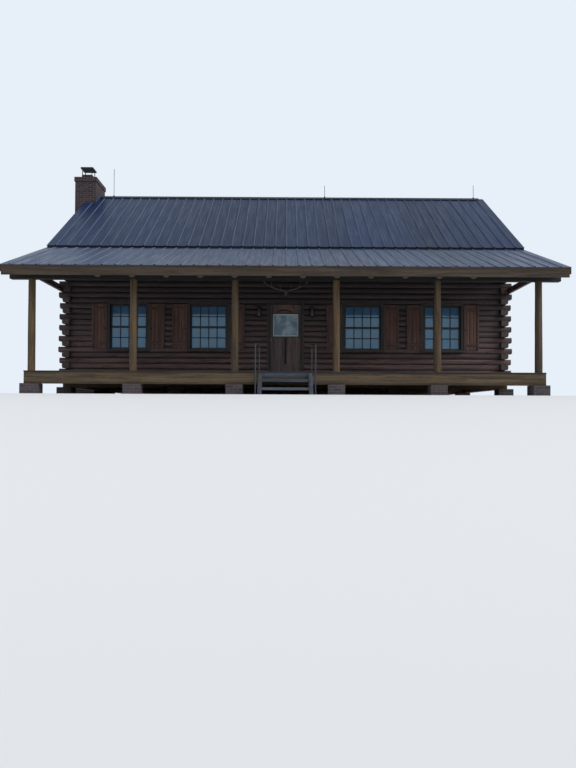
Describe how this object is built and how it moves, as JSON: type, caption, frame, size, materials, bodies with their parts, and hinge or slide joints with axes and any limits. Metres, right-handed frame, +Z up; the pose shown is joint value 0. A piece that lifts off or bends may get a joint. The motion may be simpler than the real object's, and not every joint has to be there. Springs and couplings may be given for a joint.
{
  "type": "log cabin",
  "caption": "Log cabin with a full-width front porch, two-pitch ribbed metal roof, outside brick chimney, shuttered windows and a hinged front door.",
  "frame": {"origin": "on the ground, under the middle pier of the front wall, on the middle of the wall's thickness", "axes": "+X to the right along the front, +Y from the porch back into the house, +Z up"},
  "size_m": [13.635, 10.8728, 7.8145],
  "materials": {
    "brick": "weathered brick and mortar",
    "framing_timber": "rough sawn",
    "floor_boards": "planed",
    "porch_timber": "weathered tan",
    "deck_boards": "weathered grey",
    "wall_logs": "dark stained",
    "round_logs": "peeled",
    "fascia_board": "weathered",
    "roof_boards": "rough sawn",
    "roof_metal": "slate blue, satin",
    "flue_clay": "fired clay",
    "black_metal": "matt black",
    "window_trim": "dark stained",
    "sash_paint": "dark stained",
    "window_glass": "clear",
    "shutter_stain": "red brown stain",
    "door_stain": "dark stained",
    "knob_brass": "worn",
    "hinge_steel": "dull",
    "lantern_glass": "frosted",
    "antler_bone": "weathered bone",
    "step_timber": "weathered grey",
    "rail_metal": "worn grey",
    "rod_metal": "dull"
  },
  "bodies": {
    "cabin": {"brick_piers": "brick", "house_sills": "framing_timber", "floor_joists": "framing_timber", "house_floor": "floor_boards", "porch_girder": "porch_timber", "porch_rim": "porch_timber", "porch_deck": "deck_boards", "front_wall_left": "wall_logs", "front_wall_right": "wall_logs", "front_wall_over_door": "wall_logs", "back_wall": "wall_logs", "left_wall": "wall_logs", "right_wall": "wall_logs", "left_gable": "wall_logs", "right_gable": "wall_logs", "ridge_board": "framing_timber", "main_rafters": "framing_timber", "porch_posts": "porch_timber", "porch_beam": "porch_timber", "log_rafters": "round_logs", "side_beams": "wall_logs", "end_rafters": "framing_timber", "porch_ceiling_boards": "roof_boards", "porch_sleepers": "framing_timber", "porch_fascia": "fascia_board", "main_roof_metal_front": "roof_metal", "main_roof_metal_back": "roof_metal", "main_roof_boards_front": "roof_boards", "main_roof_boards_back": "roof_boards", "porch_roof_metal": "roof_metal", "porch_roof_boards": "roof_boards", "ridge_cap": "roof_metal", "rake_boards": "fascia_board", "chimney": "brick", "chimney_flue": "flue_clay", "chimney_hood": "black_metal", "window_frames": "window_trim", "window_sashes": "sash_paint", "window_glass": "window_glass", "shutters": "shutter_stain", "threshold": "porch_timber", "door_frame": "window_trim", "hinge_pins": "hinge_steel", "wall_lanterns": "black_metal", "lantern_globes": "lantern_glass", "antlers": "antler_bone", "step_stringers": "step_timber", "step_treads": "step_timber", "handrails": "rail_metal", "lightning_rods": "rod_metal"},
    "door": {"front_door": "door_stain", "door_glass": "window_glass", "door_knob": "knob_brass", "hinge_leaves": "hinge_steel"}
  },
  "joints": [
    {"name": "front_door_hinge", "type": "hinge", "parent": "cabin", "child": "door", "pos_m": [0.46, 0.1068, 1.642], "axis": [0, 0, -1], "range_deg": [0, 100]}
  ]
}
